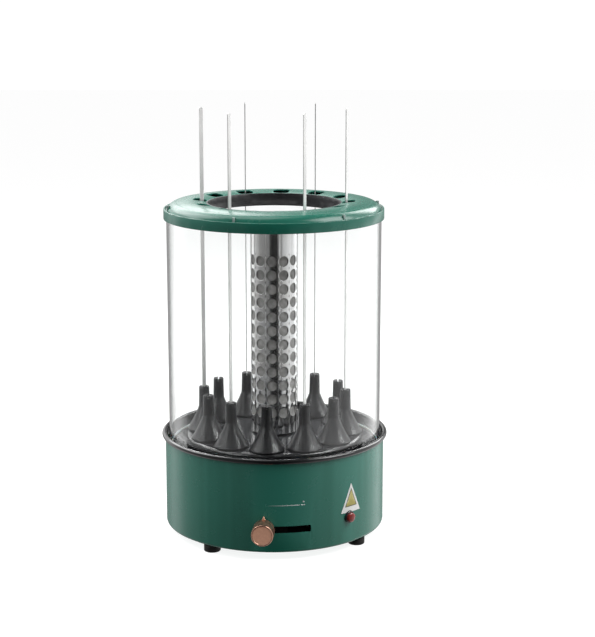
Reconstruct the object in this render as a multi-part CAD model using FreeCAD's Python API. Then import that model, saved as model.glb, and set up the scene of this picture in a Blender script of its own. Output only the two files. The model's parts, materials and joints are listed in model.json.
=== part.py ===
import FreeCAD, Part
import math
import os

# Upright skewer grill: a round base with a gear motor, a planetary carousel of twelve skewer sockets,
# a heater tower in the middle, a glass cylinder around it and a two-piece ring on top.
#
# Frame: millimetres, +Z up, origin on the ground under the carousel axis, front of the grill towards -Y.
# Azimuths are in degrees from the front, growing towards +X.

Vector = FreeCAD.Vector
UP = Vector(0, 0, 1)

# ---- driving dimensions -------------------------------------------------------------------------
base_radius = 120.0
foot_height = 8.0
base_top = 104.6
sheet = 1.0

rim_radius = 123.6
rim_height = 107.4
rim_roll = 2.7
tray_floor = 97.0
tray_sheet = 0.8

turntable_radius = 97.0
turntable_top = 108.0
turntable_plate = 2.0

socket_count = 12
socket_pitch = 78.0
socket_tip = 156.5
first_socket = -6.0
# Azimuth of each loaded socket, and the turn of its skewer's blade about the skewer's own axis.
skewer_turns = {24: 52, 84: 60, 144: 90, 204: 90, 264: 30, 324: 52}
skewer_top = 462.0

planet_module = 1.5
sun_teeth = 84
planet_teeth = 20
drive_teeth = 60
pinion_teeth = 15
motor_azimuth = 150.0

glass_outer = 115.6
glass_wall = 2.2
glass_top = 351.0

ring_outer = 118.5
ring_bottom = 344.8
ring_top = 355.7
guide_top = 363.6
guide_inner = 71.0
guide_outer = 107.4
cap_outer = 114.6

sleeve_radius = 25.5
sleeve_wall = 0.6
sleeve_bottom = 110.0
sleeve_top = 332.0
hole_radius = 5.6
hole_columns = 12
hole_rows = 12
hole_first = 134.0
hole_pitch = 15.15
coil_circle = 22.6

slider_azimuth = -5.5
slider_height = 33.4
slider_travel = 22.0
slot_half_height = 3.8
slot_left = -8.0
slot_right = 18.4
slot_corner = 1.4
lamp_azimuth = 41.0
lamp_height = 37.8
inlet_height = 45.0
proud_reach = 139.6

running_gap = 0.05
plate_bottom = foot_height + sheet
plate_top = plate_bottom + 1.0


# ---- building blocks ----------------------------------------------------------------------------
def polar(radius, azimuth, z=0.0):
    """The point at a radius and an azimuth from the front."""
    turn = math.radians(azimuth)
    return Vector(radius * math.sin(turn), -radius * math.cos(turn), z)


def ring(outer, inner, z0, z1):
    """A flat-ended tube about the vertical axis."""
    body = Part.makeCylinder(outer, z1 - z0, Vector(0, 0, z0))
    return body.cut(Part.makeCylinder(inner, z1 - z0 + 2, Vector(0, 0, z0 - 1)))


def rod(radius, z0, z1, centre=Vector(0, 0, 0)):
    """An upright round bar."""
    return Part.makeCylinder(radius, z1 - z0, Vector(centre.x, centre.y, z0))


def turned(outline):
    """A solid of revolution; an outline item is an (r, z) corner or three such points of an arc."""
    edges = []
    corners = [item if isinstance(item[0], tuple) else (item,) for item in outline]
    for here, following in zip(corners, corners[1:] + corners[:1]):
        if len(here) == 3:
            start, middle, end = (Vector(r, 0, z) for r, z in here)
            edges.append(Part.Arc(start, middle, end).toShape())
        start = Vector(here[-1][0], 0, here[-1][1])
        end = Vector(following[0][0], 0, following[0][1])
        if start.distanceToPoint(end) > 1e-6:
            edges.append(Part.makeLine(start, end))
    face = Part.Face(Part.Wire(edges))
    return face.revolve(Vector(0, 0, 0), UP, 360)


def sector(inner, outer, z0, z1, start, end):
    """Part of a tube between two azimuths."""
    body = Part.makeCylinder(outer, z1 - z0, Vector(0, 0, z0), UP, end - start)
    body = body.cut(Part.makeCylinder(inner, z1 - z0 + 2, Vector(0, 0, z0 - 1)))
    body.rotate(Vector(0, 0, 0), UP, start - 90)
    return body


def aimed(shape, azimuth, z):
    """Turns a shape made along +Z so that it points outwards at an azimuth, its own +Y upwards."""
    turned_shape = shape.copy()
    turned_shape.rotate(Vector(0, 0, 0), Vector(1, 0, 0), 90)
    turned_shape.rotate(Vector(0, 0, 0), UP, azimuth)
    turned_shape.translate(Vector(0, 0, z))
    return turned_shape


def spoke(radius, azimuth, z, start, end):
    """A round bar that points outwards, from one distance off the axis to another."""
    return aimed(Part.makeCylinder(radius, end - start, Vector(0, 0, start)), azimuth, z)


def block(width, depth, z0, z1, radius=0.0, azimuth=0.0):
    """A box, width across and depth outwards, centred at a radius and an azimuth."""
    body = Part.makeBox(width, depth, z1 - z0, Vector(-width / 2, -radius - depth / 2, z0))
    body.rotate(Vector(0, 0, 0), UP, azimuth)
    return body


def around(shape, count, start=0.0):
    """Copies of a shape at equal angles about the vertical axis."""
    copies = []
    for index in range(count):
        copy = shape.copy()
        copy.rotate(Vector(0, 0, 0), UP, start + index * 360.0 / count)
        copies.append(copy)
    return copies


def screw(point, z_under_head, length, downwards=True, shank=1.9, head=3.4, head_height=2.2):
    """A pan-head screw on an upright axis."""
    if downwards:
        z_head = z_under_head
        z_shank = z_under_head - length
    else:
        z_head = z_under_head - head_height
        z_shank = z_under_head
    cap = rod(head, z_head, z_head + head_height, point)
    return cap.fuse(rod(shank, z_shank, z_shank + length, point)).removeSplitter()


def involute(angle):
    return math.tan(angle) - angle


def gear(teeth, z0, z1, phase, backlash=0.12):
    """A spur gear about the vertical axis, with a tooth centred at the angle phase from +X."""
    pressure = math.radians(20)
    pitch = planet_module * teeth / 2
    base = pitch * math.cos(pressure)
    tip = pitch + 0.92 * planet_module
    root = pitch - 1.2 * planet_module
    half_tooth = math.pi / (2 * teeth) - backlash / (2 * pitch)
    start = max(base, root)
    flank = []
    for step in range(4):
        radius = start + (tip - start) * step / 3
        turn = half_tooth + involute(pressure) - involute(math.acos(base / radius))
        flank.append((radius, turn))
    side = [(root, flank[0][1])] * (root < base) + flank
    points = []
    for tooth in range(teeth):
        centre = math.radians(phase) + tooth * 2 * math.pi / teeth
        angles = [(r, centre - t) for r, t in side] + [(r, centre + t) for r, t in reversed(side)]
        points += [Vector(r * math.cos(a), r * math.sin(a), z0) for r, a in angles]
    outline = Part.makePolygon(points + points[:1])
    return Part.Face(outline).extrude(Vector(0, 0, z1 - z0))


def wire(points, radius, bend):
    """A round wire along straight runs joined by tangent arcs."""
    edges = []
    here = points[0]
    for corner, following in zip(points[1:-1], points[2:]):
        before = (here - corner).normalize()
        after = (following - corner).normalize()
        cut_back = bend / math.tan(before.getAngle(after) / 2)
        start = corner + before * cut_back
        end = corner + after * cut_back
        inward = (before + after).normalize()
        centre = corner + inward * (bend / math.sin(before.getAngle(after) / 2))
        edges.append(Part.makeLine(here, start))
        edges.append(Part.Arc(start, centre - inward * bend, end).toShape())
        here = end
    edges.append(Part.makeLine(here, points[-1]))
    path = Part.Wire(edges)
    section = Part.Wire(Part.makeCircle(radius, points[0], points[1] - points[0]))
    return path.makePipeShell([section], True, False)


def made(name, shape):
    """Writes one sub-part."""
    shape.exportStep("parts/" + name + ".step")


def group(shapes):
    return Part.makeCompound(shapes)


socket_azimuths = [first_socket + index * 360.0 / socket_count for index in range(socket_count)]
foot_points = [polar(110, -37.2 + 90 * index) for index in range(4)]
motor_point = polar(planet_module * (drive_teeth + pinion_teeth) / 2, motor_azimuth)


# ---- base ---------------------------------------------------------------------------------------
def base_shell():
    """Painted steel drum, curled in at the bottom, with openings for the slider, lamp and inlet."""
    curl = 3.0
    edge = base_radius - curl
    slant = curl * math.sqrt(0.5)
    inner_slant = (curl - sheet) * math.sqrt(0.5)
    centre_z = foot_height + curl
    drum = turned([
        (96, foot_height),
        ((edge, foot_height), (edge + slant, centre_z - slant), (base_radius, centre_z)),
        (base_radius, base_top),
        (base_radius - sheet, base_top),
        ((base_radius - sheet, centre_z), (edge + inner_slant, centre_z - inner_slant), (edge, plate_bottom)),
        (96, plate_bottom),
    ])
    drum = drum.cut(slider_slot())
    drum = drum.cut(spoke(5.8, lamp_azimuth, lamp_height, 110, 130))
    drum = drum.cut(block(30.4, 30, inlet_height - 11.2, inlet_height + 11.2, base_radius, 180))
    for point in foot_points:
        drum = drum.cut(rod(2.2, 0, 20, point))
    return drum


def slider_slot():
    """The curved slot's cutter, with small rounds in its four corners."""
    low = slider_height - slot_half_height
    high = slider_height + slot_half_height
    inset = math.degrees(slot_corner / base_radius)
    slot = sector(110, 130, low + slot_corner, high - slot_corner, slot_left, slot_right)
    slot = slot.fuse(sector(110, 130, low, high, slot_left + inset, slot_right - inset))
    for azimuth in (slot_left + inset, slot_right - inset):
        for z in (low + slot_corner, high - slot_corner):
            slot = slot.fuse(spoke(slot_corner, azimuth, z, 110, 130))
    return slot.removeSplitter()


def bottom_plate():
    """Steel floor of the base, with cooling slots."""
    plate = rod(116, plate_bottom, plate_top)
    for point in foot_points + around_points(26, 45, 4):
        plate = plate.cut(rod(2.2, 0, 20, point))
    slot = block(5, 26, 0, 20, 78)
    for cutter in around(slot, 6, 30):
        for side in (-8, 0, 8):
            turned_cutter = cutter.copy()
            turned_cutter.rotate(Vector(0, 0, 0), UP, side)
            plate = plate.cut(turned_cutter)
    return plate


def around_points(radius, start, count):
    return [polar(radius, start + index * 360.0 / count) for index in range(count)]


def rubber_feet():
    foot = turned([(1.9, 3.0), (4.2, 3.0), (4.2, 0), (8.2, 0), (9.0, 0.8), (9.0, foot_height), (1.9, foot_height)])
    feet = []
    for point in foot_points:
        placed = foot.copy()
        placed.translate(point)
        feet.append(placed)
    return group(feet)


def foot_screws():
    return group([screw(point, 3.0, 11.5, downwards=False) for point in foot_points])


def foot_nuts():
    nuts = []
    for point in foot_points:
        hexagon = Part.makePolygon([point + polar(4.0, 60 * corner, plate_top) for corner in range(7)])
        nut = Part.Face(hexagon).extrude(Vector(0, 0, 2.8))
        nuts.append(nut.cut(rod(1.9, 0, 20, point)))
    return group(nuts)


def drip_tray():
    """Enamelled tray: flat floor, upright wall and a rolled rim that hooks over the base shell."""
    wall = 118.7
    bottom = tray_floor - tray_sheet
    dish = turned([
        (24, bottom), (wall, bottom), (wall, rim_height), (wall - sheet, rim_height),
        (wall - sheet, tray_floor), (24, tray_floor),
    ])
    rim = Part.makeTorus(rim_radius - rim_roll, rim_roll, Vector(0, 0, rim_height))
    for point in around_points(44, 0, 3):
        dish = dish.cut(rod(2.0, 80, 110, point))
    return dish.fuse(rim)


def blank_label():
    """A plain triangular sticker on the shell, above the lamp."""
    low = 43.0
    high = 74.5
    half_width = 14.0
    corners = [Vector(-half_width, low, 100), Vector(half_width, low, 100), Vector(0, high, 100)]
    prism = Part.Face(Part.makePolygon(corners + corners[:1])).extrude(Vector(0, 0, 40))
    prism = aimed(prism, lamp_azimuth + 1.2, 0)
    return prism.common(ring(base_radius + 0.25, base_radius, low - 5, high + 5)).cut(lamp_clearance())


def lamp_clearance():
    return spoke(6.8, lamp_azimuth, lamp_height, 110, 130)


# ---- controls -----------------------------------------------------------------------------------
def slide_track():
    """Curved plastic channel behind the slot, which guides the carriage."""
    start = slot_left - 13
    end = slot_right + 13
    low = slider_height - 9
    high = slider_height + 9
    channel = sector(112, 118.9, low, high, start, end)
    channel = channel.cut(sector(113.5, 120, low + 1.6, high - 1.6, start - 1, end + 1))
    return channel.cut(sector(100, 114, slider_height - 1.6, slider_height + 1.6, slot_left, slot_right))


def slider_carriage():
    """Curved shoe that carries the knob's stem outwards and the wiper pin inwards."""
    shoe = sector(115.5, 117.5, slider_height - 6.9, slider_height + 6.9, slider_azimuth - 12, slider_azimuth + 12)
    shoe = shoe.fuse(spoke(2.9, slider_azimuth, slider_height, 116, 126))
    return shoe.fuse(spoke(1.2, slider_azimuth, slider_height, 108.5, 116.5))


def slider_knob():
    """Round grip with a small pointer on top."""
    near = base_radius + 0.8
    far = proud_reach
    grip = turned([
        (2.9, near), (11.2, near), (12.0, near + 0.8),
        ((11.4, far - 1.2), (11.05, far - 0.35), (10.2, far)),
        (0, far), (0, 126), (2.9, 126),
    ])
    corners = [Vector(-2.5, 10.5, near), Vector(2.5, 10.5, near), Vector(0, 15.4, near)]
    pointer = Part.Face(Part.makePolygon(corners + corners[:1])).extrude(Vector(0, 0, 1.6))
    return aimed(grip.fuse(pointer), slider_azimuth, slider_height)


def regulator():
    """Slide regulator behind the track, open along the wiper pin's path."""
    body = block(46, 18, slider_height - 13, slider_height + 15, 100, slider_azimuth + slider_travel / 2)
    body = body.common(rod(111.9, 0, 90))
    return body.cut(sector(106, 113, slider_height - 1.6, slider_height + 1.6, slot_left, slot_right))


def lamp_bezel():
    flange = turned([
        (5.0, base_radius - 1), (6.5, base_radius - 1), (6.5, base_radius + 1.4),
        (5.9, base_radius + 2.0), (5.0, base_radius + 2.0),
    ])
    flange = aimed(flange, lamp_azimuth, lamp_height).cut(rod(base_radius + 0.02, 0, 90))
    barrel = aimed(ring(5.6, 5.0, 106, base_radius + 1), lamp_azimuth, lamp_height)
    return flange.fuse(barrel).removeSplitter()


def lamp_lens():
    lens = turned([
        (0, 112), (5.0, 112),
        ((5.0, base_radius + 4.2), (2.8, base_radius + 5.4), (0.8, base_radius + 5.7)), (0, base_radius + 5.7),
    ])
    return aimed(lens, lamp_azimuth, lamp_height)


def power_inlet():
    """Moulded inlet with a recess for a plug-in lead."""
    shroud = block(36, 21, inlet_height - 14, inlet_height + 14, proud_reach - 10.5, 180)
    corner_edges = [edge for edge in shroud.Edges if abs(edge.tangentAt(edge.FirstParameter).y) > 0.9]
    shroud = shroud.makeFillet(3, corner_edges).cut(rod(base_radius + 0.02, 0, 90))
    barrel = block(30, 26, inlet_height - 11, inlet_height + 11, 118, 180)
    recess = block(25, 27, inlet_height - 8, inlet_height + 8, proud_reach - 12.5, 180)
    return shroud.fuse(barrel).cut(recess).cut(inlet_pins())


def inlet_pins():
    pins = []
    for side in (-7, 0, 7):
        pin = Part.makeBox(2, 30, 4, Vector(side - 1, 102, inlet_height - 2))
        pins.append(pin)
    return group(pins)


# ---- drive --------------------------------------------------------------------------------------
def column():
    """Fixed steel tube that carries the heater tower and the carousel's bushes."""
    tube = ring(16, 14.5, plate_top, 111).fuse(ring(34, 14.5, plate_top, plate_top + 3))
    for point in around_points(26, 45, 4):
        tube = tube.cut(rod(2.2, 0, 20, point))
    return tube.cut(spoke(4.5, 270, 19, 10, 20)).removeSplitter()


def hub_bushes():
    """Two bushes pressed on the column; the lower one has a flange that the drive hub stands on."""
    lower = ring(18 - running_gap, 16, 71.8, 79).fuse(ring(21, 16, 69.5, 71.8))
    upper = ring(18 - running_gap, 16, 98, 104)
    return group([lower.removeSplitter(), upper])


def drive_hub():
    """Sleeve that hangs below the turntable and turns on the bushes."""
    return ring(21.5, 18, 72, 104.5).fuse(ring(40, 18, 104.5, turntable_top - turntable_plate))


def drive_gear():
    body = gear(drive_teeth, 74, 80, motor_azimuth - 90)
    return body.cut(rod(21.5, 70, 90))


def motor_pinion():
    phase = motor_azimuth + 90 + 180.0 / pinion_teeth
    body = gear(pinion_teeth, 73.5, 80.5, phase)
    body.translate(motor_point)
    return body.cut(rod(3.5, 70, 90, motor_point))


def motor_shaft():
    return rod(3.5, 58, 82, motor_point)


def gear_motor():
    """Flat synchronous gear motor with two ears."""
    can = rod(25, 47, 67, motor_point).fuse(rod(10, 67, 69.5, motor_point))
    ears = block(68, 10, 47, 49, motor_point.Length, motor_azimuth)
    can = can.fuse(ears)
    for point in ear_points():
        can = can.cut(rod(2.0, 40, 60, point))
    return can.cut(rod(3.5 + running_gap, 57, 80, motor_point))


def ear_points():
    across = polar(29.5, motor_azimuth + 90)
    return [motor_point + across, motor_point - across]


def motor_bracket():
    """Bridge of bent steel that holds the motor above the floor."""
    radius = motor_point.Length
    deck = block(74, 40, 45.5, 47, radius, motor_azimuth)
    bridge = deck
    for side in (-1, 1):
        leg = Part.makeBox(1.5, 40, 36, Vector(side * 36.25 - 0.75, -radius - 20, plate_top))
        toe = Part.makeBox(12, 40, 1.5, Vector(side * 42 - 6, -radius - 20, plate_top))
        for piece in (leg, toe):
            piece.rotate(Vector(0, 0, 0), UP, motor_azimuth)
            bridge = bridge.fuse(piece)
    for point in ear_points():
        bridge = bridge.cut(rod(2.0, 40, 60, point))
    return bridge.removeSplitter()


def chassis_screws():
    """The screws of the column, the motor and the sun gear."""
    screws = [screw(point, plate_top + 3, 6) for point in around_points(26, 45, 4)]
    screws += [screw(point, 49, 6) for point in ear_points()]
    screws += [screw(point, tray_floor + 2, 6) for point in around_points(44, 0, 3)]
    return group(screws)


def sun_gear():
    """Fixed ring gear under the turntable, which the planet gears roll around."""
    body = gear(sun_teeth, tray_floor, tray_floor + 6.5, first_socket - 90)
    body = body.cut(rod(27, 90, 110)).cut(rod(55, tray_floor + 2, 110))
    for point in around_points(44, 0, 3):
        body = body.cut(rod(2.0, 80, 110, point))
    return body


# ---- carousel -----------------------------------------------------------------------------------
def turntable():
    """Rotating disc with a rolled edge and a bearing boss for each socket."""
    under = turntable_top - turntable_plate
    edge = 4.0
    slant = edge * math.sqrt(0.5)
    corner = turntable_radius - edge
    disc = turned([
        (18.3, under), (95.2, under), (95.2, 100), (turntable_radius, 100),
        ((turntable_radius, turntable_top - edge), (corner + slant, turntable_top - edge + slant),
         (corner, turntable_top)),
        (18.3, turntable_top),
    ])
    for azimuth in socket_azimuths:
        disc = disc.fuse(rod(8, under - 2, under, polar(socket_pitch, azimuth)))
    for azimuth in socket_azimuths:
        disc = disc.cut(rod(5 + running_gap, 90, 120, polar(socket_pitch, azimuth)))
    return disc.removeSplitter()


def skewer_socket(azimuth):
    """Bell-footed socket with a cross slot, and the planet gear pressed on its stem."""
    bell_foot = turntable_top + 0.3
    gear_bottom = tray_floor + 2
    gear_top = tray_floor + 6.5
    body = turned([
        (0, gear_bottom - 0.2), (5, gear_bottom - 0.2), (5, bell_foot), (18, bell_foot), (18.6, bell_foot + 0.6),
        ((18.6, bell_foot + 1.4), (11.6, bell_foot + 13.2), (6.1, bell_foot + 26)),
        (5.6, socket_tip - 0.8), (5.1, socket_tip), (0, socket_tip),
    ])
    first_slot = skewer_turns.get(azimuth % 360, 0)
    for turn in (first_slot, first_slot + 90):
        pocket = Part.makeBox(4.8, 1.6, 40, Vector(-2.4, -0.8, socket_tip - 32))
        notch = Part.makeBox(14, 1.6, 10, Vector(-7, -0.8, socket_tip - 3))
        for cutter in (pocket, notch):
            cutter.rotate(Vector(0, 0, 0), UP, turn)
            body = body.cut(cutter)
    planet = gear(planet_teeth, gear_bottom, gear_top, azimuth + 90 + 180.0 / planet_teeth)
    planet = planet.cut(rod(5, 90, 110))
    pair = group([body, planet])
    pair.translate(polar(socket_pitch, azimuth))
    return pair


def skewer(azimuth, turn):
    """Flat steel blade, pointed at the bottom and rounded at the top, turned about its own axis."""
    half_width = 2.2
    thickness = 1.0
    bottom = socket_tip - 31
    outline = [
        Vector(0, 0, bottom), Vector(half_width, 0, bottom + 9), Vector(half_width, 0, skewer_top - 1.2),
        Vector(half_width - 0.8, 0, skewer_top), Vector(0.8 - half_width, 0, skewer_top),
        Vector(-half_width, 0, skewer_top - 1.2), Vector(-half_width, 0, bottom + 9),
    ]
    blade = Part.Face(Part.makePolygon(outline + outline[:1])).extrude(Vector(0, thickness, 0))
    blade.translate(Vector(0, -thickness / 2, 0))
    blade.rotate(Vector(0, 0, 0), UP, turn)
    blade.translate(polar(socket_pitch, azimuth))
    return blade


# ---- heater tower -------------------------------------------------------------------------------
def lead_points():
    return [Vector(-8, 3, 0), Vector(8, -3, 0)]


def tower_base():
    inside = sleeve_radius - sleeve_wall - 0.1
    body = turned([(2.5, 100), (14.5, 100), (14.5, 111), (inside, 111), (inside, 116), (2.5, 116)])
    for point in lead_points():
        body = body.cut(rod(1.4, 90, 120, point))
    return body


def ceramic_core():
    """Fluted ceramic former that carries the resistance coils."""
    core = ring(24.2, 4, 116, 322).cut(rod(12, 110, 124))
    flute = rod(2.2, 118, 320, Vector(coil_circle, 0, 0))
    for cutter in around(flute, 12, first_socket - 75):
        core = core.cut(cutter)
    return core


def heating_coils():
    coil = rod(1.5, 119, 319, Vector(coil_circle, 0, 0))
    return group(around(coil, 12, first_socket - 75))


def heater_sleeve():
    """Chromed guard tube with rows of round holes."""
    sleeve = ring(sleeve_radius, sleeve_radius - sleeve_wall, sleeve_bottom, sleeve_top)
    cutters = []
    for row in range(hole_rows):
        for column_index in range(hole_columns):
            azimuth = first_socket + column_index * 360.0 / hole_columns
            cutters.append(spoke(hole_radius, azimuth, hole_first + row * hole_pitch, 20, 30))
    return sleeve.cut(group(cutters))


def tower_cap():
    """Domed lid of the sleeve, with a flat seat for the nut."""
    inside = sleeve_radius - sleeve_wall
    return turned([
        (2.6, 341.2), (2.6, 342), ((5.2, 342), (16.5, 339.4), (sleeve_radius, sleeve_top)),
        (inside, sleeve_top), (inside, sleeve_top - 6), (inside - 0.8, sleeve_top - 6),
        ((inside - 0.8, sleeve_top - 0.4), (15.5, 338.7), (4.6, 341.2)),
    ])


def tie_rod():
    return rod(2.5, 101, 344)


def cap_nut():
    nut = Part.Face(Part.makePolygon([polar(4.6, 60 * corner, 342) for corner in range(7)]))
    dome = Part.makeSphere(3.6, Vector(0, 0, 343.4)).common(rod(5, 343, 350))
    return nut.extrude(Vector(0, 0, 2.4)).fuse(dome).cut(rod(2.5, 340, 344))


def heater_leads():
    """Two insulated leads from the terminal block, through the column, up to the coils."""
    leads = []
    for point in lead_points():
        start = Vector(-58, point.y, 19)
        corner = Vector(point.x, point.y, 19)
        end = Vector(point.x, point.y, 121)
        leads.append(wire([start, corner, end], 1.1, 4.5))
    return group(leads)


def terminal_block():
    body = Part.makeBox(16, 24, 15, Vector(-74, -12, plate_top))
    for y in (-3, 3):
        body = body.cut(Part.makeCylinder(2.0, 6, Vector(-70, y, plate_top + 10)))
    return body


def thermal_cutout():
    point = polar(62, 235)
    body = rod(8, 88, tray_floor - tray_sheet, point)
    for side in (-1, 1):
        tab = Part.makeBox(4, 0.8, 8, Vector(point.x + 4 * side - 2, point.y - 0.4, 80))
        body = body.fuse(tab)
    return body


# ---- glass and top ------------------------------------------------------------------------------
def glass_gasket():
    return ring(glass_outer + 0.8, glass_outer - glass_wall - 0.8, tray_floor, tray_floor + 1.5)


def glass_cylinder():
    inner = glass_outer - glass_wall
    low = tray_floor + 1.5
    edge = 0.5
    return turned([
        (inner + edge, low), (glass_outer - edge, low), (glass_outer, low + edge), (glass_outer, glass_top - edge),
        (glass_outer - edge, glass_top), (inner + edge, glass_top), (inner, glass_top - edge), (inner, low + edge),
    ])


def ring_seal():
    inner = glass_outer - glass_wall - 0.3
    outer = glass_outer + 0.3
    top = ring_top - 3.0
    return turned([
        (inner - 0.8, 347.5), (inner, 347.5), (inner, glass_top + 0.2), (outer, glass_top + 0.2), (outer, 347.5),
        (outer + 0.8, 347.5), (outer + 0.8, top), (inner - 0.8, top),
    ])


def top_ring():
    """Fixed ring on the glass: outer band, flat groove and the ledge that the guide ring turns on."""
    wall = 1.5
    web = ring_top - 3.0
    seat = guide_outer + 0.6
    ledge = 347.4
    return turned([
        (ring_outer - wall, ring_bottom), (ring_outer, ring_bottom), (ring_outer, ring_top - 0.5),
        (ring_outer - 0.5, ring_top), (ring_outer - 1.7, ring_top), (ring_outer - 2.3, web + wall),
        (seat, web + wall), (seat, ledge), (seat - 3.5, ledge), (seat - 3.5, ledge - wall),
        (seat + wall, ledge - wall), (seat + wall, web), (ring_outer - wall, web),
    ])


def guide_window(grow, z0, z1, azimuth):
    """The upright rounded pocket that one skewer passes through."""
    pocket = block(18 + 2 * grow, 14 + 2 * grow, z0, z1, 80.3, 0)
    upright = [edge for edge in pocket.Edges if abs(edge.tangentAt(edge.FirstParameter).z) > 0.9]
    pocket = pocket.makeFillet(4 + grow, upright)
    pocket.rotate(Vector(0, 0, 0), UP, azimuth)
    return pocket


def guide_cap():
    """Domed upper half of the turning guide ring; its skirt overhangs the top ring's groove."""
    skin = 1.2
    foot = ring_top - 1.1
    rim_floor = 353.0
    inner = guide_inner + 1.8
    cap = turned([
        ((cap_outer, foot), (111.9, foot + 4.4), (104.0, guide_top - 1.5)),
        ((104.0, guide_top - 1.5), (88.0, guide_top), (inner, guide_top - 2.1)),
        ((inner, guide_top - 2.1 - skin), (88.0, guide_top - skin), (104.0, guide_top - 1.5 - skin)),
        ((104.0, guide_top - 1.5 - skin), (110.8, foot + 3.6), (cap_outer - skin, foot)),
    ])
    cap = cap.fuse(ring(guide_outer, guide_outer - 1.4, rim_floor, guide_top - 3.2))
    rib = block(1.8, 4.6, foot + 0.2, foot + 5.0, cap_outer - 2.6)
    for copy in around(rib, 6, first_socket - 15):
        cap = cap.fuse(copy)
    for azimuth in socket_azimuths:
        cap = cap.cut(guide_window(0, 340, 370, azimuth))
    return cap


def guide_carrier():
    """Black lower half of the guide ring: floor, rims and the pockets around the windows."""
    floor = 347.8
    plate = ring(guide_outer, guide_inner, floor, floor + 1.5)
    inner_rim = ring(guide_inner + 1.6, guide_inner, floor, 361.5)
    outer_rim = ring(guide_outer, guide_outer - 1.6, floor, 353)
    carrier = plate.fuse(inner_rim).fuse(outer_rim)
    for azimuth in socket_azimuths:
        carrier = carrier.fuse(guide_window(1.0, floor, 359.6, azimuth))
    for azimuth in socket_azimuths:
        carrier = carrier.cut(guide_window(0, 340, 370, azimuth))
    return carrier.removeSplitter()


# ---- output -------------------------------------------------------------------------------------
PIECES = [
    base_shell, bottom_plate, rubber_feet, foot_screws, foot_nuts, drip_tray, blank_label,
    slide_track, slider_carriage, slider_knob, regulator, lamp_bezel, lamp_lens, power_inlet, inlet_pins,
    column, hub_bushes, drive_hub, drive_gear, motor_pinion, motor_shaft,
    gear_motor, motor_bracket, chassis_screws, sun_gear, turntable,
    tower_base, ceramic_core, heating_coils, heater_sleeve, tower_cap, tie_rod, cap_nut,
    heater_leads, terminal_block, thermal_cutout,
    glass_gasket, glass_cylinder, ring_seal, top_ring, guide_cap, guide_carrier,
]

os.makedirs("parts", exist_ok=True)
for piece in PIECES:
    made(piece.__name__, piece())
for number, azimuth in enumerate(socket_azimuths, start=1):
    made("skewer_socket_%02d" % number, skewer_socket(azimuth))
for number, (azimuth, turn) in enumerate(skewer_turns.items(), start=1):
    made("skewer_%d" % number, skewer(azimuth, turn))
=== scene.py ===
import json
import math

import bmesh
import bpy
from mathutils import Matrix, Vector


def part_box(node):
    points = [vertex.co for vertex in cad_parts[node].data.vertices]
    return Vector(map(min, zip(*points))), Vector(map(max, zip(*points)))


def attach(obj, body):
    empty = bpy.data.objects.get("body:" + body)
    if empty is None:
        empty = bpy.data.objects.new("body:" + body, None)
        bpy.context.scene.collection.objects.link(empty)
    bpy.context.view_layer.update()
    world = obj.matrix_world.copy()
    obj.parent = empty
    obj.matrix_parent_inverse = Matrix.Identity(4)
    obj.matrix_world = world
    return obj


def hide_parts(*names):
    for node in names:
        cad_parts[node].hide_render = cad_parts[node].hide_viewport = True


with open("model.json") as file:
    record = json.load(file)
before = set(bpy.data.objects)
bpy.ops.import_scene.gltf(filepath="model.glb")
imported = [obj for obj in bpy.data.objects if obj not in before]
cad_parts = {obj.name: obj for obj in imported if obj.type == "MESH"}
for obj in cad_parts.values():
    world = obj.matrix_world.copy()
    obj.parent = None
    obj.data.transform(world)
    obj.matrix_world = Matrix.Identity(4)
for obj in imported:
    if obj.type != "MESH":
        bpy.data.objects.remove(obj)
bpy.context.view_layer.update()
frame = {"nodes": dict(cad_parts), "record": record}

# Outlines are in millimetres, as on a drawing, and MM turns them into the scene's metres.
# Azimuths are in degrees from the front (-Y), growing towards +X, as the part has them.
MM = 0.001
FULL_TURN = 2 * math.pi
FIRST_SOCKET = -6.0
SOCKETS = 12
BASE_RADIUS = 120.0
LABEL_AZIMUTH = 42.2

# The azimuth and height of the knob's middle.
SLIDER = (-5.5, 33.4)

# What the world shows the object, as (azimuth, brightness) pairs. The ramps hold shares of
# WORLD_TOP, which is as bright as they can be.
WORLD_TOP = 2.0
BELOW_HORIZON = [
    (-180, 0.35), (-152, 0.36), (-128, 1.2), (-100, 0.55), (-65, 0.27), (-32, 0.24), (-12, 0.02),
    (10, 0.02), (28, 0.22), (52, 0.6), (80, 0.85), (110, 1.05), (138, 1.6), (155, 0.4), (180, 0.35),
]
ABOVE_HORIZON = [
    (-180, 0.6), (-165, 1.5), (-140, 1.9), (-105, 0.7), (-60, 0.24), (-20, 0.03), (15, 0.03),
    (45, 0.35), (90, 0.9), (125, 1.4), (148, 0.9), (163, 0.25), (174, 0.3), (180, 0.6),
]
ZENITH = [(0, 0.25)]


# ---- mesh helpers -------------------------------------------------------------------------------
def arc(centre, radius, start, end, steps=8):
    """Points of an arc in an (r, z) outline; angles in degrees from the outward direction."""
    points = []
    for step in range(steps + 1):
        turn = math.radians(start + (end - start) * step / steps)
        points.append((centre[0] + radius * math.cos(turn), centre[1] + radius * math.sin(turn)))
    return points


def new_object(name, points, faces, sharp=32):
    """A smooth-shaded mesh object, with its hard edges kept sharp and its broad faces kept true."""
    mesh = bpy.data.meshes.new(name)
    mesh.from_pydata(points, [], faces)
    mesh.validate()
    mesh.shade_smooth()
    mesh.set_sharp_from_angle(angle=math.radians(sharp))
    piece = bpy.data.objects.new(name, mesh)
    bpy.context.scene.collection.objects.link(piece)
    shading = piece.modifiers.new("shading", "WEIGHTED_NORMAL")
    shading.keep_sharp = True
    return piece


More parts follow.
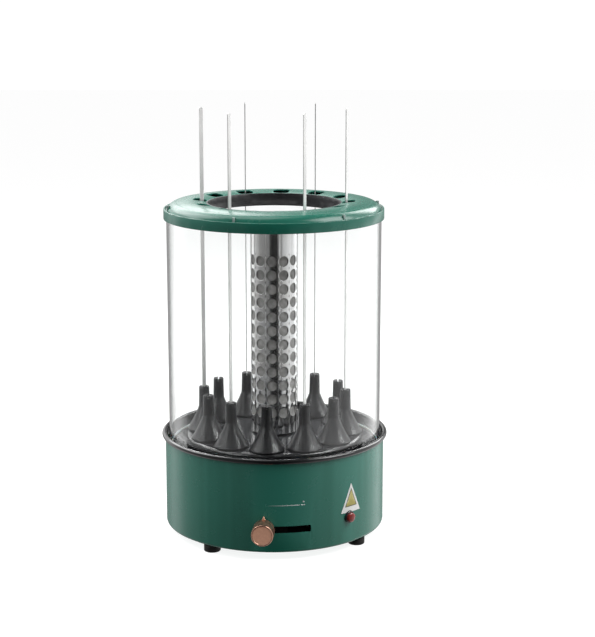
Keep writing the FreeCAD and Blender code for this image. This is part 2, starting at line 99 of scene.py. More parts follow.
def lathe(name, outline, segments=192, sharp=32):
    """A closed outline of (r, z) corners in millimetres, turned about the vertical axis."""
    points = []
    rings = []
    for r, z in outline:
        if r < 1e-6:
            rings.append([len(points)] * segments)
            points.append((0, 0, z * MM))
            continue
        rings.append(list(range(len(points), len(points) + segments)))
        for step in range(segments):
            turn = FULL_TURN * step / segments
            points.append((r * math.cos(turn) * MM, r * math.sin(turn) * MM, z * MM))
    faces = []
    for low, high in zip(rings, rings[1:] + rings[:1]):
        for step in range(segments):
            after = (step + 1) % segments
            face = [low[step], low[after], high[after], high[step]]
            face = list(dict.fromkeys(face))
            if len(face) > 2:
                faces.append(face)
    return new_object(name, points, faces, sharp)


def plate(name, corners, near, far, chamfer):
    """A flat prism of (x, y) corners between two depths.

    The front edge is chamfered, at 45 degrees where the shape is 5 mm across.
    """
    middle = [sum(corner[axis] for corner in corners) / len(corners) for axis in (0, 1)]
    across = 5
    narrowed = 1 - 2 * chamfer / across
    rings = []
    for share, depth in ((1, near), (1, far - chamfer), (narrowed, far)):
        rings.append([((middle[0] + (x - middle[0]) * share) * MM,
                       (middle[1] + (y - middle[1]) * share) * MM, depth * MM) for x, y in corners])
    count = len(corners)
    faces = [list(range(count))[::-1], [2 * count + step for step in range(count)]]
    for level in range(2):
        for step in range(count):
            after = (step + 1) % count
            low, high = level * count, (level + 1) * count
            faces.append([low + step, low + after, high + after, high + step])
    return new_object(name, [point for ring in rings for point in ring], faces)


def wrapped(name, corners, azimuth, radius, thickness=0.06):
    """A thin film of (distance round the drum, height) corners, bent round the drum in strips."""
    piece = plate(name, corners, 0, thickness, 0)
    cuts = bmesh.new()
    cuts.from_mesh(piece.data)
    strip = 1.5
    end = max(x for x, z in corners)
    edge = min(x for x, z in corners) + strip
    while edge < end:
        everything = cuts.verts[:] + cuts.edges[:] + cuts.faces[:]
        bmesh.ops.bisect_plane(cuts, geom=everything, plane_co=(edge * MM, 0, 0), plane_no=(1, 0, 0))
        edge += strip
    for vertex in cuts.verts:
        around, height, depth = vertex.co
        turn = around / (radius * MM) + math.radians(azimuth)
        reach = radius * MM + depth
        vertex.co = (reach * math.sin(turn), -reach * math.cos(turn), height)
    cuts.to_mesh(piece.data)
    cuts.free()
    return piece


def aim(piece, azimuth, z):
    """Turns a piece made along +Z outwards at an azimuth, its own +Y upwards, at a height."""
    turn = Matrix.Rotation(math.radians(azimuth), 4, "Z") @ Matrix.Rotation(math.radians(90), 4, "X")
    piece.matrix_world = Matrix.Translation((0, 0, z * MM)) @ turn
    return piece


def dress(piece, body, material, replaced=()):
    """Gives a piece its body and its material, and hides the CAD nodes it stands for."""
    piece.data.materials.append(material)
    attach(piece, body)
    if replaced:
        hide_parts(*replaced)
    return piece


def soften(piece, width, segments=2):
    """Rounds a CAD node's hard edges a little."""
    weld = piece.modifiers.new("weld", "WELD")
    weld.merge_threshold = 0.00001
    bevel = piece.modifiers.new("edges", "BEVEL")
    bevel.width = width * MM
    bevel.segments = segments
    bevel.limit_method = "ANGLE"
    bevel.angle_limit = math.radians(40)
    bevel.harden_normals = True
    return piece


# ---- material helpers ---------------------------------------------------------------------------
class Finish:
    """A Principled material and short names for the nodes that give it detail."""

    def __init__(self, name, color, roughness, metallic=0.0, **settings):
        self.material = bpy.data.materials.new(name)
        self.material.use_nodes = True
        self.tree = self.material.node_tree
        self.shader = self.tree.nodes["Principled BSDF"]
        self.shader.inputs["Base Color"].default_value = (*color, 1)
        self.shader.inputs["Roughness"].default_value = roughness
        self.shader.inputs["Metallic"].default_value = metallic
        for socket, value in settings.items():
            self.shader.inputs[socket.replace("_", " ")].default_value = value
        self.coordinates = self.tree.nodes.new("ShaderNodeTexCoord").outputs["Object"]

    def link(self, output, target):
        self.tree.links.new(output, target)

    def stretched(self, scale):
        """Object coordinates with a different scale along each axis."""
        mapping = self.tree.nodes.new("ShaderNodeMapping")
        mapping.inputs["Scale"].default_value = scale
        self.link(self.coordinates, mapping.inputs["Vector"])
        return mapping.outputs["Vector"]

    def noise(self, scale, detail=3.0, vector=None, distortion=0.0):
        node = self.tree.nodes.new("ShaderNodeTexNoise")
        node.inputs["Scale"].default_value = scale
        node.inputs["Detail"].default_value = detail
        node.inputs["Distortion"].default_value = distortion
        self.link(vector or self.coordinates, node.inputs["Vector"])
        return node.outputs["Fac"]

    def ranged(self, value, low, high, from_low=0.3, from_high=0.7):
        node = self.tree.nodes.new("ShaderNodeMapRange")
        node.inputs["From Min"].default_value = from_low
        node.inputs["From Max"].default_value = from_high
        node.inputs["To Min"].default_value = low
        node.inputs["To Max"].default_value = high
        self.link(value, node.inputs["Value"])
        return node.outputs["Result"]

    def mixed(self, factor, first, second):
        """A colour between two others; each is a colour or another node's output."""
        node = self.tree.nodes.new("ShaderNodeMix")
        node.data_type = "RGBA"
        self.link(factor, node.inputs["Factor"])
        for socket, value in (("A", first), ("B", second)):
            target = [i for i in node.inputs if i.name == socket and i.type == "RGBA"][0]
            if isinstance(value, tuple):
                target.default_value = (*value, 1)
            else:
                self.link(value, target)
        return [o for o in node.outputs if o.type == "RGBA"][0]

    def math(self, operation, first, second=None):
        node = self.tree.nodes.new("ShaderNodeMath")
        node.operation = operation
        for index, value in enumerate((first, second)):
            if value is None:
                continue
            if isinstance(value, (int, float)):
                node.inputs[index].default_value = value
            else:
                self.link(value, node.inputs[index])
        return node.outputs["Value"]

    def axis(self, letter):
        node = self.tree.nodes.new("ShaderNodeSeparateXYZ")
        self.link(self.coordinates, node.inputs["Vector"])
        return node.outputs[letter]

    def radius(self):
        """The distance from the object's own vertical axis."""
        node = self.tree.nodes.new("ShaderNodeSeparateXYZ")
        self.link(self.coordinates, node.inputs["Vector"])
        squares = self.math("ADD", self.math("POWER", node.outputs["X"], 2.0),
                            self.math("POWER", node.outputs["Y"], 2.0))
        return self.math("SQRT", squares)

    def edge_wear(self, low=0.52, high=0.6):
        """1 on convex edges, 0 elsewhere."""
        geometry = self.tree.nodes.new("ShaderNodeNewGeometry")
        return self.ranged(geometry.outputs["Pointiness"], 0.0, 1.0, low, high)

    def color(self, output):
        self.link(output, self.shader.inputs["Base Color"])

    def rough(self, output):
        self.link(output, self.shader.inputs["Roughness"])

    def bump(self, height, strength, distance):
        node = self.tree.nodes.new("ShaderNodeBump")
        node.inputs["Strength"].default_value = strength
        node.inputs["Distance"].default_value = distance
        self.link(height, node.inputs["Height"])
        self.link(node.outputs["Normal"], self.shader.inputs["Normal"])


# ---- materials ----------------------------------------------------------------------------------
def green_paint():
    """Satin dark green enamel paint: faint orange peel, slow colour drift, paler worn edges."""
    dark = (0.006, 0.106, 0.072)
    light = (0.008, 0.128, 0.087)
    worn = (0.03, 0.18, 0.135)
    f = Finish("green_paint", dark, 0.25)
    drift = f.ranged(f.noise(14, 2), 0, 1)
    f.color(f.mixed(f.edge_wear(), f.mixed(drift, dark, light), worn))
    f.rough(f.ranged(f.noise(60, 4), 0.22, 0.29))
    f.bump(f.noise(420, 2), 0.03, 0.0001)
    return f.material


def black_enamel():
    """Deep gloss black enamel, slightly wavy, with fine dust that dulls it in places."""
    f = Finish("black_enamel", (0.006, 0.006, 0.007), 0.12, Coat_Weight=0.15, Coat_Roughness=0.05)
    f.color(f.mixed(f.edge_wear(0.53, 0.62), (0.006, 0.006, 0.007), (0.03, 0.03, 0.032)))
    f.rough(f.ranged(f.noise(35, 5), 0.09, 0.2))
    f.bump(f.noise(120, 1), 0.05, 0.0005)
    return f.material


def black_plastic():
    """Heat-proof moulded black plastic with a fine spark-eroded texture."""
    f = Finish("black_plastic", (0.009, 0.009, 0.01), 0.32)
    cloud = f.ranged(f.noise(90, 3), 0, 1)
    f.color(f.mixed(f.edge_wear(), f.mixed(cloud, (0.006, 0.006, 0.007), (0.011, 0.011, 0.012)),
                    (0.03, 0.03, 0.032)))
    f.rough(f.ranged(f.noise(400, 3), 0.27, 0.37))
    f.bump(f.noise(3500, 2), 0.04, 0.0001)
    return f.material


def painted_slot_shade():
    """Near-black matt plastic, darker than the parts' own black plastic: painted shade on what lies in the
    slot behind the knob. Nearly no shine.
    """
    f = Finish("painted_slot_shade", (0.003, 0.003, 0.003), 0.8, Specular_IOR_Level=0.1)
    f.color(f.mixed(f.ranged(f.noise(200, 3), 0, 1), (0.002, 0.002, 0.002), (0.005, 0.005, 0.005)))
    f.bump(f.noise(2500, 2), 0.1, 0.0001)
    return f.material


def rubber():
    """Matt moulded rubber with pale dust in its grain."""
    f = Finish("rubber_black", (0.012, 0.012, 0.012), 0.8, Specular_IOR_Level=0.3)
    f.color(f.mixed(f.ranged(f.noise(300, 4), 0, 1), (0.01, 0.01, 0.01), (0.03, 0.029, 0.027)))
    f.bump(f.noise(2500, 3), 0.3, 0.0001)
    return f.material


def drawn_steel(name, tint, low, high, scale):
    """Steel with drawing lines; the scale is small along the lines and large across them."""
    f = Finish(name, tint, (low + high) / 2, 0.75)
    lines = f.noise(1.0, 5, f.stretched(scale))
    darker = tuple(0.72 * c for c in tint)
    stain = f.ranged(f.noise(25, 3), 0, 1)
    f.color(f.mixed(f.math("MULTIPLY", stain, f.ranged(lines, 0, 1)), tint, darker))
    f.rough(f.ranged(lines, low, high))
    f.bump(lines, 0.08, 0.00008)
    return f.material


def zinc_sheet():
    """Zinc-plated sheet with a soft spangle."""
    f = Finish("zinc_sheet", (0.5, 0.5, 0.49), 0.38, 1.0)
    spangle = f.tree.nodes.new("ShaderNodeTexVoronoi")
    spangle.inputs["Scale"].default_value = 180
    f.link(f.coordinates, spangle.inputs["Vector"])
    f.color(f.mixed(spangle.outputs["Distance"], (0.56, 0.56, 0.55), (0.4, 0.4, 0.39)))
    f.rough(f.ranged(f.noise(80, 3), 0.3, 0.48))
    return f.material


def chrome():
    """Polished chrome with faint vertical drawing lines and a slow wave in the sheet."""
    f = Finish("chrome", (0.86, 0.86, 0.87), 0.06, 1.0, Anisotropic=0.25)
    lines = f.noise(1.0, 4, f.stretched((900, 900, 6)))
    heat = f.ranged(f.noise(18, 3), 0, 1, 0.45, 0.75)
    f.color(f.mixed(heat, (0.88, 0.88, 0.89), (0.72, 0.70, 0.68)))
    f.rough(f.ranged(lines, 0.04, 0.13))
    f.bump(f.math("ADD", f.math("MULTIPLY", lines, 0.15), f.noise(1.0, 2, f.stretched((110, 110, 14)))),
           0.22, 0.0006)
    return f.material


def clear_glass():
    """Clear heat-proof glass with a faint film; lamps reach what stands inside."""
    f = Finish("clear_glass", (0.985, 0.995, 0.992), 0.0, Transmission_Weight=1.0, IOR=1.47)
    f.rough(f.ranged(f.noise(20, 4), 0.0, 0.02, 0.45, 0.8))
    path = f.tree.nodes.new("ShaderNodeLightPath")
    clear = f.tree.nodes.new("ShaderNodeBsdfTransparent")
    clear.inputs["Color"].default_value = (0.97, 0.98, 0.98, 1)
    mix = f.tree.nodes.new("ShaderNodeMixShader")
    f.link(path.outputs["Is Shadow Ray"], mix.inputs["Fac"])
    f.link(f.shader.outputs["BSDF"], mix.inputs[1])
    f.link(clear.outputs["BSDF"], mix.inputs[2])
    f.link(mix.outputs["Shader"], f.tree.nodes["Material Output"].inputs["Surface"])
    return f.material


def copper():
    """Rose-copper plate, turned: fine rings about the piece's own axis."""
    f = Finish("copper", (0.95, 0.52, 0.36), 0.45, 0.15)
    rings = f.math("SINE", f.math("MULTIPLY", f.radius(), 9000.0))
    scatter = f.noise(500, 3)
    f.color(f.mixed(f.ranged(scatter, 0, 1), (0.98, 0.54, 0.37), (0.88, 0.46, 0.31)))
    f.rough(f.ranged(f.math("ADD", f.math("MULTIPLY", rings, 0.3), scatter), 0.36, 0.54, 0.1, 0.9))
    f.bump(rings, 0.12, 0.00006)
    return f.material


def shaded_polished_copper():
    """The knob's side: the same plate, polished, which mirrors the darker surroundings. Its colour is also
    darker than the face's: painted shade on the side.
    """
    f = Finish("copper_side_painted_shade", (0.6, 0.34, 0.25), 0.3, 0.9)
    f.color(f.mixed(f.ranged(f.noise(300, 3), 0, 1), (0.66, 0.37, 0.27), (0.52, 0.29, 0.21)))
    f.rough(f.ranged(f.noise(120, 3), 0.24, 0.36))
    return f.material


def ceramic():
    """Unglazed grey ceramic, mottled and slightly rough to the touch."""
    f = Finish("ceramic_grey", (0.24, 0.235, 0.23), 0.7)
    f.color(f.mixed(f.ranged(f.noise(160, 5), 0, 1), (0.17, 0.167, 0.162), (0.31, 0.303, 0.295)))
    f.rough(f.ranged(f.noise(300, 3), 0.55, 0.8))
    f.bump(f.noise(1500, 4), 0.3, 0.0002)
    return f.material


def wound_coil():
    """Resistance wire wound in a close helix, seen as fine turns along each rod."""
    f = Finish("coil_wire", (0.1, 0.09, 0.085), 0.45, 1.0)
    turns = f.math("SINE", f.math("MULTIPLY", f.axis("Z"), 5200.0))
    f.color(f.mixed(f.ranged(turns, 0, 1, -1, 1), (0.04, 0.037, 0.035), (0.2, 0.18, 0.17)))
    f.rough(f.ranged(f.noise(200, 2), 0.35, 0.6))
    f.bump(turns, 0.8, 0.0004)
    return f.material


def moulded(name, color, roughness):
    """Plain moulded plastic: slow changes of shade, fine grain."""
    f = Finish(name, color, roughness)
    f.color(f.mixed(f.ranged(f.noise(60, 3), 0, 1), color, tuple(0.8 * c for c in color)))
    f.rough(f.ranged(f.noise(260, 3), roughness * 0.85, roughness * 1.15))
    f.bump(f.noise(1800, 2), 0.12, 0.0001)
    return f.material


def bronze():
    """Sintered bronze with dark pores."""
    f = Finish("bush_bronze", (0.55, 0.36, 0.16), 0.4, 1.0)
    f.color(f.mixed(f.ranged(f.noise(400, 4), 0, 1), (0.6, 0.4, 0.18), (0.4, 0.25, 0.11)))
    f.rough(f.ranged(f.noise(900, 2), 0.32, 0.55))
    return f.material


def red_lens():
    """Translucent red lens with moulded prism rings."""
    f = Finish("red_lens", (0.22, 0.016, 0.012), 0.16, Coat_Weight=0.15, Subsurface_Weight=0.15)
    rings = f.math("SINE", f.math("MULTIPLY", f.radius(), 5200.0))
    f.color(f.mixed(f.ranged(rings, 0, 1, -1, 1), (0.17, 0.012, 0.009), (0.27, 0.022, 0.016)))
    f.rough(f.ranged(f.noise(400, 2), 0.1, 0.2))
    f.bump(rings, 0.15, 0.0003)
    return f.material


def paper(name, color):
    """Printed film with a slight grain."""
    f = Finish(name, color, 0.45)
    f.color(f.mixed(f.ranged(f.noise(500, 3), 0, 1), color, tuple(0.9 * c for c in color)))
    f.rough(f.ranged(f.noise(200, 2), 0.4, 0.52))
    return f.material


def silver_print_and_highlight():
    """Thin silver ink that fades into the paint towards the piece's own -X: the scale's low end. On the
    ring's rib caps it is a painted highlight.
    """
    f = Finish("silver_print_and_highlight", (0.62, 0.66, 0.65), 0.4, 0.4)
    ink = f.mixed(f.ranged(f.noise(900, 3), 0, 1), (0.7, 0.74, 0.73), (0.45, 0.5, 0.49))
    f.color(f.mixed(f.ranged(f.axis("X"), 0, 1, -0.009, 0.008), (0.04, 0.16, 0.13), ink))
    return f.material


def silicone():
    """Pale silicone rubber, slightly translucent."""
    f = Finish("silicone", (0.6, 0.6, 0.58), 0.5, Subsurface_Weight=0.2)
    f.color(f.mixed(f.ranged(f.noise(150, 3), 0, 1), (0.62, 0.62, 0.6), (0.5, 0.5, 0.48)))
    f.bump(f.noise(900, 2), 0.1, 0.0002)
    return f.material


def woven_sleeve():
    """Glass-fibre sleeving: a diagonal weave."""
    f = Finish("lead_sleeve", (0.66, 0.65, 0.6), 0.8)
    weave = f.tree.nodes.new("ShaderNodeTexWave")
    weave.wave_type = "BANDS"
    weave.bands_direction = "DIAGONAL"
    weave.inputs["Scale"].default_value = 500
    f.link(f.coordinates, weave.inputs["Vector"])
    f.color(f.mixed(weave.outputs["Fac"], (0.7, 0.69, 0.64), (0.5, 0.49, 0.44)))
    f.bump(weave.outputs["Fac"], 0.5, 0.0003)
    return f.material


MATERIALS = {
    "green_paint": green_paint(),
    "black_enamel": black_enamel(),
    "black_plastic": black_plastic(),
    "painted_slot_shade": painted_slot_shade(),
    "rubber_black": rubber(),
    "steel": drawn_steel("steel", (0.82, 0.82, 0.81), 0.26, 0.42, (2500, 2500, 12)),
    "zinc_steel": zinc_sheet(),
    "chrome": chrome(),
    "clear_glass": clear_glass(),
    "copper": copper(),
    "copper_side_painted_shade": shaded_polished_copper(),
    "ceramic_grey": ceramic(),
    "coil_wire": wound_coil(),
    "bush_bronze": bronze(),
    "gear_nylon": moulded("gear_nylon", (0.62, 0.6, 0.55), 0.5),
    "red_lens": red_lens(),
    "label_film": paper("label_film", (0.85, 0.86, 0.84)),
    "label_yellow": paper("label_yellow", (0.4, 0.35, 0.1)),
    "label_ink": paper("label_ink", (0.1, 0.09, 0.05)),
    "silver_print_and_highlight": silver_print_and_highlight(),
    "silicone": silicone(),
    "lead_sleeve": woven_sleeve(),
}

# The parts in the slot round the knob's stem. They get near-black painted shade instead of their own black
# plastic, so the slot shows as a black gap.
PAINTED_SHADE_PARTS = ("slide_track", "slider_carriage")

# Edge radius in millimetres of the CAD nodes in view; numbered nodes share one entry.
SOFT_EDGES = {
    "top_ring": 0.35, "guide_carrier": 0.3, "skewer_socket": 0.3, "skewer": 0.15, "cap_nut": 0.3,
    "power_inlet": 0.5, "rubber_feet": 0.4,
}


# ---- pieces -------------------------------------------------------------------------------------
def cad_pieces():
    """Every CAD node keeps its shape and gets its slot's material, except the parts in the slot, which get
    painted shade; the ones in view get soft edges.
    """
    slots = {row["node"]: row["material_slot"] for row in frame["record"]["subparts"]}
    for name, node in frame["nodes"].items():
        # The parts in the slot get painted shade in place of their slot's material.
        material = "painted_slot_shade" if name in PAINTED_SHADE_PARTS else slots[name]
        node.data.materials.clear()
        node.data.materials.append(MATERIALS[material])
        width = SOFT_EDGES.get(name.rstrip("0123456789_"), 0)
        if width:
            soften(node, width)


def glass():
    """The glass cylinder, with fire-polished rims."""
    low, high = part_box("glass_cylinder")
    outer = high.x / MM
    wall = 2.2
    bottom = low.z / MM
    top = high.z / MM
    half = wall / 2
    outline = arc((outer - half, bottom + half), half, 180, 360)
    outline += arc((outer - half, top - half), half, 0, 180)
    piece = lathe("glass_wall", outline, 256, 60)
    dress(piece, "glass", MATERIALS["clear_glass"], ["glass_cylinder"])


def tray():
    """The drip tray: a flat floor with a round hole, an upright wall and a rolled rim."""
    low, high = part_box("drip_tray")
    sheet = 0.8
    bend = 1.2
    bore = 24
    roll = 2.7
    outer = high.x / MM
    rim = high.z / MM - roll
    floor = low.z / MM + sheet
    wall = outer - 4.9
    outline = [(bore, floor - sheet), (wall - bend, floor - sheet)]
    outline += arc((wall - bend, floor + 0.4), bend, -90, 0, 4)
    outline += [(wall, rim - 1.4)]
    outline += arc((outer - roll, rim), roll, 211, 515, 28)
    outline += arc((wall - 2.0, floor + bend), bend, 0, -90, 4)
    outline += [(bore, floor)]
    piece = lathe("tray_dish", outline, 256)
    dress(piece, "root", MATERIALS["black_enamel"], ["drip_tray"])


def sleeve():
    """The guard tube, built cell by cell, each cell a square of sheet round one rolled hole."""
    low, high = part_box("heater_sleeve")
    sheet = 0.6
    outer = high.x / MM
    inner = outer - sheet
    rows = 12
    pitch = 15.15
    first = 134.0
    hole = 5.6
    around = 32
    half_width = math.pi * outer / SOCKETS
    half_height = pitch / 2
    points = []
    faces = []
    index = {}

    def vertex(u, z, r):
        """The point a distance u round the tube, shared by the cells that meet there."""
        turn = u / outer + math.radians(FIRST_SOCKET)
        spot = (r * math.sin(turn), -r * math.cos(turn), z)
        key = tuple(round(value, 3) + 0.0 for value in spot)
        if key not in index:
            index[key] = len(points)
            points.append([value * MM for value in spot])
        return index[key]

    def rim_point(step):
        """The point of a cell's square edge that lies outwards of one point of its hole."""
        turn = FULL_TURN * (step + 0.5) / around
        u, v = math.cos(turn), math.sin(turn)
        reach = max(abs(u) / half_width, abs(v) / half_height)
        return u / reach, v / reach

    def hole_point(step, radius):
        turn = FULL_TURN * (step + 0.5) / around
        return radius * math.cos(turn), radius * math.sin(turn)

    lip = [(hole + 0.5, inner), (hole + 0.1, inner - 0.35), (hole, inner - 0.1), (hole + 0.08, outer - 0.12),
           (hole + 0.35, outer)]
    for row in range(rows):
        z = first + row * pitch
        for column in range(SOCKETS):
            u = 2 * column * half_width
            rings = [[rim_point(step) for step in range(around)]]
            rings += [[hole_point(step, radius) for step in range(around)] for radius, depth in lip]
            rings += [rings[0]]
            depths = [inner] + [depth for radius, depth in lip] + [outer]
            grid = []
            for outline, depth in zip(rings, depths):
                grid.append([vertex(u + du, z + dv, depth) for du, dv in outline])
            for one, other in zip(grid, grid[1:]):
                for step in range(around):
                    after = (step + 1) % around
                    faces.append([one[step], one[after], other[after], other[step]])

    edge = sorted(rim_point(step)[0] for step in range(around) if rim_point(step)[1] > half_height - 1e-6)
    turns = [2 * column * half_width + u for column in range(SOCKETS) for u in edge]
    cell_bottom = first - half_height
    cell_top = first + (rows - 0.5) * pitch
    profile_low = [(cell_bottom, outer), (low.z / MM, outer), (low.z / MM, inner), (cell_bottom, inner)]
    profile_high = [(cell_top, inner), (high.z / MM, inner), (high.z / MM, outer), (cell_top, outer)]
    for profile in (profile_low, profile_high):
        for here, after in zip(turns, turns[1:] + [turns[0] + FULL_TURN * outer]):
            for (z0, r0), (z1, r1) in zip(profile, profile[1:]):
                faces.append([vertex(here, z0, r0), vertex(after, z0, r0), vertex(after, z1, r1),
                              vertex(here, z1, r1)])
    piece = new_object("sleeve_guard", points, faces, 50)
    dress(piece, "root", MATERIALS["chrome"], ["heater_sleeve"])


def knob():
    """The slider's round knob: polished side and rounded edge in a darker copper as painted shade, turned
    dished face, small pointer.
    """
    near = 120.8
    reach = 139.4
    dish = 9.9
    outline = [(0, near), (11.2, near), (11.8, near + 0.5), (11.4, reach - 2.2)]
    outline += arc((10.5, reach - 1.0), 1.0, 0, 80, 6)
    outline += [(dish + 0.3, reach - 0.15), (dish, reach - 0.5), (dish, reach - 1.5), (0, reach - 1.5)]
    face = [(0, reach - 1.6), (dish + 0.02, reach - 1.6), (dish + 0.02, reach - 0.5), (0, reach - 0.7)]
    pointer = [(-2.5, 10.5), (2.5, 10.5), (0, 15.4)]
    # The grip's side wears the darker copper: painted shade.
    grip = dress(lathe("knob_grip", outline, 128, 28), "slider", MATERIALS["copper_side_painted_shade"],
                 ["slider_knob"])
    disc = dress(lathe("knob_face", face, 128, 28), "slider", MATERIALS["copper"])
    mark = dress(plate("knob_pointer", pointer, near, near + 1.6, 0.3), "slider",
                 MATERIALS["copper"])
    for piece in (grip, disc, mark):
        aim(piece, SLIDER[0], SLIDER[1])


def rib_highlights():
    """Silver caps on the six ribs round the foot of the turning ring's dome: painted highlights where the
    ribs catch the light.
    """
    ribs = 6
    spacing = 360 / ribs
    first_rib = FIRST_SOCKET - 15
    foot = 354.8
    corners = [(-1.1, 0), (1.1, 0), (0.9, 5.4), (-0.9, 5.4)]
    for number in range(ribs):
        # Each cap is a painted highlight in silver print.
        rib = plate("ring_rib_highlight_%d" % (number + 1), corners, 112.5, 115.2, 0.4)
        dress(rib, "guide", MATERIALS["silver_print_and_highlight"])
        aim(rib, first_rib + spacing * number, foot)


def label():
    """The yellow field in the middle of the blank triangular sticker, with a thin dark border."""
    for name, corners, lift, material in (
            ("label_border", [(-8.6, 49.2), (8.6, 49.2), (0, 69.6)], 0.05, "label_ink"),
            ("label_field", [(-7.2, 50.1), (7.2, 50.1), (0, 67.2)], 0.1, "label_yellow")):
        piece = wrapped(name, corners, LABEL_AZIMUTH, BASE_RADIUS + 0.25 + lift)
        dress(piece, "root", MATERIALS[material])


def scale_print():
    """The silver scale over the slider: a tick, a line that widens, a bar, and a dot above the bar."""
    marks = [
        ("scale_line", [(-7.1, 59.45), (26.6, 59.35), (26.6, 60.25), (-7.1, 59.85)]),
        ("scale_end", [(28.0, 59.3), (31.8, 59.3), (31.8, 60.3), (28.0, 60.3)]),
        ("scale_tick", [(-9.5, 58.6), (-9.0, 58.6), (-9.0, 62.4), (-9.5, 62.4)]),
        ("scale_dot", [(30.2 + math.cos(turn), 63.2 + math.sin(turn))
                       for turn in (FULL_TURN * step / 16 for step in range(16))]),
    ]
    for name, corners in marks:
        dress(wrapped(name, corners, 0, BASE_RADIUS), "root", MATERIALS["silver_print_and_highlight"])


def first_look(tree):
    """1 for what is seen straight or through the glass, 0 for what light brings to the object."""
    path = tree.nodes.new("ShaderNodeLightPath")

    def calculate(operation, first, second):
        node = tree.nodes.new("ShaderNodeMath")
        node.operation = operation
        node.use_clamp = True
        for index, value in enumerate((first, second)):
            if isinstance(value, float):
                node.inputs[index].default_value = value
            else:
                tree.links.new(value, node.inputs[index])
        return node.outputs["Value"]

    bounced = calculate("ADD", path.outputs["Glossy Depth"], path.outputs["Diffuse Depth"])
    through = calculate("SUBTRACT", path.outputs["Is Transmission Ray"], bounced)
    return calculate("ADD", path.outputs["Is Camera Ray"], through)


def light_table():
    """The pale floor: it glows, so that the object's shadow on it is faint.

    It is seen straight or through the glass, and not in reflections.
    """
    reach = 7.0
    floor = new_object("studio_floor", [(-reach, -reach, 0), (reach, -reach, 0), (reach, reach, 0),
                                        (-reach, reach, 0)], [[0, 1, 2, 3]])
    material = bpy.data.materials.new("light_table")
    material.use_nodes = True
    tree = material.node_tree
    shader = tree.nodes["Principled BSDF"]
    shader.inputs["Base Color"].default_value = (0.3, 0.3, 0.3, 1)
    shader.inputs["Roughness"].default_value = 1.0
    shader.inputs["Specular IOR Level"].default_value = 0.0
    shader.inputs["Emission Color"].default_value = (1, 1, 1, 1)
    shader.inputs["Emission Strength"].default_value = 0.86
    clear = tree.nodes.new("ShaderNodeBsdfTransparent")
    mix = tree.nodes.new("ShaderNodeMixShader")
    tree.links.new(first_look(tree), mix.inputs["Fac"])
    tree.links.new(clear.outputs["BSDF"], mix.inputs[1])
    tree.links.new(shader.outputs["BSDF"], mix.inputs[2])
    tree.links.new(mix.outputs["Shader"], tree.nodes["Material Output"].inputs["Surface"])
    floor.data.materials.append(material)
    floor.visible_shadow = False
    floor.visible_diffuse = False
    floor.visible_glossy = False


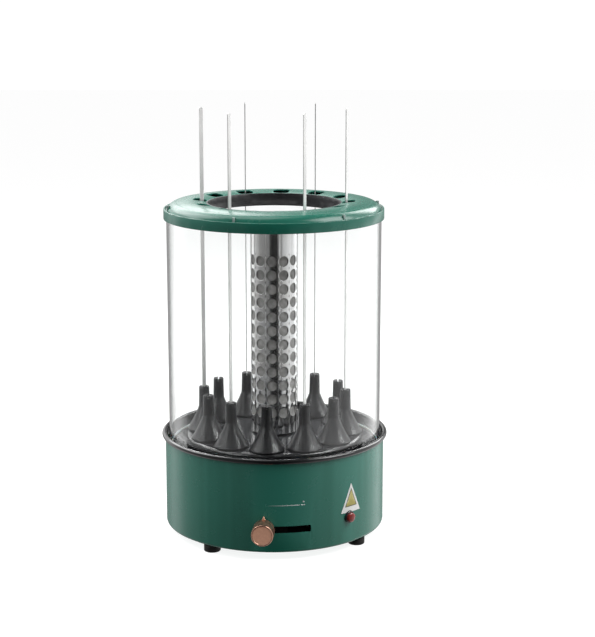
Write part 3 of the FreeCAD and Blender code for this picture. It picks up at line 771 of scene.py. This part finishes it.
def studio_world():
    """White to look at; to the object, dark in front and bright at the sides and behind."""
    world = bpy.data.worlds.new("studio")
    world.use_nodes = True
    tree = world.node_tree
    split = tree.nodes.new("ShaderNodeSeparateXYZ")
    tree.links.new(tree.nodes.new("ShaderNodeTexCoord").outputs["Generated"], split.inputs["Vector"])
    backwards = tree.nodes.new("ShaderNodeMath")
    backwards.operation = "MULTIPLY"
    backwards.inputs[1].default_value = -1.0
    tree.links.new(split.outputs["Y"], backwards.inputs[0])
    azimuth = tree.nodes.new("ShaderNodeMath")
    azimuth.operation = "ARCTAN2"
    tree.links.new(split.outputs["X"], azimuth.inputs[0])
    tree.links.new(backwards.outputs["Value"], azimuth.inputs[1])
    turn = tree.nodes.new("ShaderNodeMapRange")
    turn.inputs["From Min"].default_value = -math.pi
    turn.inputs["From Max"].default_value = math.pi
    tree.links.new(azimuth.outputs["Value"], turn.inputs["Value"])

    def around(levels):
        """Brightness by azimuth, given as (azimuth, brightness) pairs."""
        ramp = tree.nodes.new("ShaderNodeValToRGB")
        elements = ramp.color_ramp.elements
        while len(elements) > 1:
            elements.remove(elements[0])
        for index, (degrees, level) in enumerate(levels):
            position = (degrees + 180) / 360
            element = elements[0] if index == 0 else elements.new(position)
            element.position = position
            element.color = (level / WORLD_TOP, level / WORLD_TOP, level / WORLD_TOP, 1)
        ramp.color_ramp.interpolation = "EASE"
        tree.links.new(turn.outputs["Result"], ramp.inputs["Fac"])
        return ramp.outputs["Color"]

    below = around(BELOW_HORIZON)
    above = around(ABOVE_HORIZON)

    def by_height(lower, upper, start, end):
        """One ring of brightness up to a height of the looking direction, and another above it."""
        height = tree.nodes.new("ShaderNodeMapRange")
        height.interpolation_type = "SMOOTHSTEP"
        height.inputs["From Min"].default_value = start
        height.inputs["From Max"].default_value = end
        tree.links.new(split.outputs["Z"], height.inputs["Value"])
        levels = tree.nodes.new("ShaderNodeMix")
        levels.data_type = "RGBA"
        tree.links.new(height.outputs["Result"], levels.inputs["Factor"])
        for ring, target in zip((lower, upper), [i for i in levels.inputs if i.type == "RGBA"]):
            tree.links.new(ring, target)
        return [o for o in levels.outputs if o.type == "RGBA"][0]

    sides = by_height(below, above, -0.08, 0.1)
    light = tree.nodes["Background"]
    tree.links.new(by_height(sides, around(ZENITH), 0.5, 0.68), light.inputs["Color"])
    light.inputs["Strength"].default_value = WORLD_TOP
    white = tree.nodes.new("ShaderNodeBackground")
    white.inputs["Color"].default_value = (1, 1, 1, 1)
    white.inputs["Strength"].default_value = 1.05
    mix = tree.nodes.new("ShaderNodeMixShader")
    tree.links.new(first_look(tree), mix.inputs["Fac"])
    tree.links.new(light.outputs["Background"], mix.inputs[1])
    tree.links.new(white.outputs["Background"], mix.inputs[2])
    tree.links.new(mix.outputs["Shader"], tree.nodes["World Output"].inputs["Surface"])
    bpy.context.scene.world = world


def softbox(name, azimuth, elevation, distance, size, brightness):
    """An area lamp that looks at the middle of the object; brightness is what a mirror shows."""
    light = bpy.data.lights.new(name, "AREA")
    light.shape = "RECTANGLE"
    light.size, light.size_y = size
    light.energy = brightness * math.pi * size[0] * size[1]
    holder = bpy.data.objects.new(name, light)
    turn, rise = math.radians(azimuth), math.radians(elevation)
    way = Vector((math.sin(turn) * math.cos(rise), -math.cos(turn) * math.cos(rise), math.sin(rise)))
    holder.location = Vector((0, 0, 0.2)) + way * distance
    holder.rotation_euler = way.to_track_quat("Z", "Y").to_euler()
    holder.visible_camera = False
    bpy.context.scene.collection.objects.link(holder)
    return holder


def stage():
    """The floor, the world and the lamps; the front fill isn't seen in reflections."""
    light_table()
    studio_world()
    softbox("key_right", 75, 42, 1.5, (0.9, 0.9), 7.4)
    softbox("fill_left", -108, 42, 1.5, (0.9, 0.9), 4.5)
    softbox("top_left", -120, 75, 1.6, (1.0, 1.0), 2.6)
    softbox("crown_left", -151, 37, 1.42, (1.15, 0.8), 3.4)
    softbox("rim_right", 142, 32, 1.6, (0.6, 0.9), 6.0)
    front = softbox("fill_front", -62, 30, 1.6, (1.0, 1.0), 2.4)
    front.visible_glossy = False


def camera():
    """The camera at the photograph's viewing angle: a long lens from the front, looking slightly down."""
    data = bpy.data.cameras.new("camera")
    data.sensor_width = 36
    data.lens = 93.11
    holder = bpy.data.objects.new("camera", data)
    holder.location = (0, -1.7557, 0.6017)
    holder.rotation_euler = (math.radians(90 - 11.842), 0, math.radians(-0.826))
    bpy.context.scene.collection.objects.link(holder)
    bpy.context.scene.camera = holder


camera()
stage()
cad_pieces()
glass()
tray()
sleeve()
knob()
rib_highlights()
label()
scale_print()
bpy.context.scene.view_settings.view_transform = "Standard"


def corners(box):
    return [[float(v) for v in corner] for corner in box]
